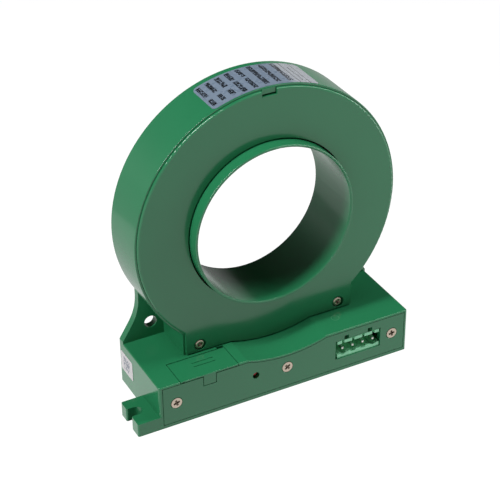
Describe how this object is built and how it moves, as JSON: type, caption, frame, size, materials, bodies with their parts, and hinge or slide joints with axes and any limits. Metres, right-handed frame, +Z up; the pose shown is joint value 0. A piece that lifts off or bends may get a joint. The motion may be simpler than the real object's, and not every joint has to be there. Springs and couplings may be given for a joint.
{
  "type": "leakage current sensor",
  "caption": "Ring-shaped residual current sensor on a slotted box base, with a pluggable terminal header, an indicator window and a hinged access flap.",
  "frame": {"origin": "centre of the mounting face, at the middle of the bounding box", "axes": "+X along the base towards the terminal header's end, +Y from the front panel to the back, +Z up from the mounting face"},
  "size_m": [0.14, 0.0394, 0.1365],
  "materials": {
    "green_abs": "glossy moulded ABS",
    "label_film": "satin printed film",
    "mint_plastic": "satin moulded nylon",
    "nickel_steel": "nickel plated steel",
    "tinned_contact": "tinned brass",
    "red_lamp": "tinted clear resin, unlit",
    "black_plastic": "moulded black plastic",
    "board_laminate": "glass laminate with green resist",
    "white_plastic": "moulded white nylon",
    "lead_sleeve": "insulated wire",
    "copper_winding": "enamelled copper wire",
    "amber_tape": "polyester winding tape",
    "core_iron": "wound soft magnetic strip",
    "grey_foam": "closed cell foam",
    "can_metal": "drawn metal can",
    "ferrite": "sintered ferrite and ceramic"
  },
  "bodies": {
    "base": {"housing": "green_abs", "ring_cover": "green_abs", "front_panel": "green_abs", "rim_label": "label_film", "side_label": "label_film", "terminal_header": "mint_plastic", "panel_screws": "nickel_steel", "cover_screws": "nickel_steel", "board_screws": "nickel_steel", "terminal_pins": "tinned_contact", "service_pins": "tinned_contact", "status_led": "red_lamp", "led_holder": "black_plastic", "service_header": "black_plastic", "microcontroller": "black_plastic", "bus_transceiver": "black_plastic", "dc_converter": "black_plastic", "circuit_board": "board_laminate", "lead_socket": "white_plastic", "core_case": "white_plastic", "core_case_lid": "white_plastic", "coil_leads": "lead_sleeve", "secondary_winding": "copper_winding", "winding_tape": "amber_tape", "toroid_core": "core_iron", "foam_rings": "grey_foam", "crystal": "can_metal", "electrolytics": "can_metal", "power_choke": "ferrite", "chip_parts": "ferrite"},
    "flap": {"access_door": "green_abs"}
  },
  "joints": [
    {"name": "flap_hinge", "type": "hinge", "parent": "base", "child": "flap", "pos_m": [-0.0367, -0.0073, 0.0198], "axis": [-1, 0, 0], "range_deg": [0, 90]}
  ]
}
